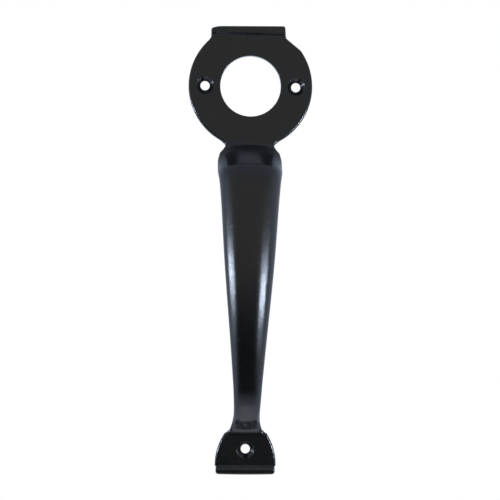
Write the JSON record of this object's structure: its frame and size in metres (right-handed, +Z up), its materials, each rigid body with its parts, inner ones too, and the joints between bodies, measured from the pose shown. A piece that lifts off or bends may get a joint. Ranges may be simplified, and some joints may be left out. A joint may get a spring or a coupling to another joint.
{
  "type": "cylinder pull handle",
  "caption": "Pressed-steel door pull with a ring plate that goes round a rim latch cylinder, a domed open-backed grip and a flat screw foot.",
  "frame": {"origin": "middle of the cylinder hole, in the plane of the door (the flat back of the plates)", "axes": "+Z up along the handle, +Y into the door, +X to the right of a person who faces the door"},
  "size_m": [0.0634, 0.0233, 0.23],
  "materials": {
    "black_coat": "satin black powder coat on steel, with a very fine orange-peel texture"
  },
  "bodies": {
    "root": {"top_lip": "black_coat", "ring_plate": "black_coat", "upper_neck": "black_coat", "grip_bow": "black_coat", "lower_neck": "black_coat", "foot_plate": "black_coat", "bottom_lip": "black_coat"}
  },
  "joints": []
}
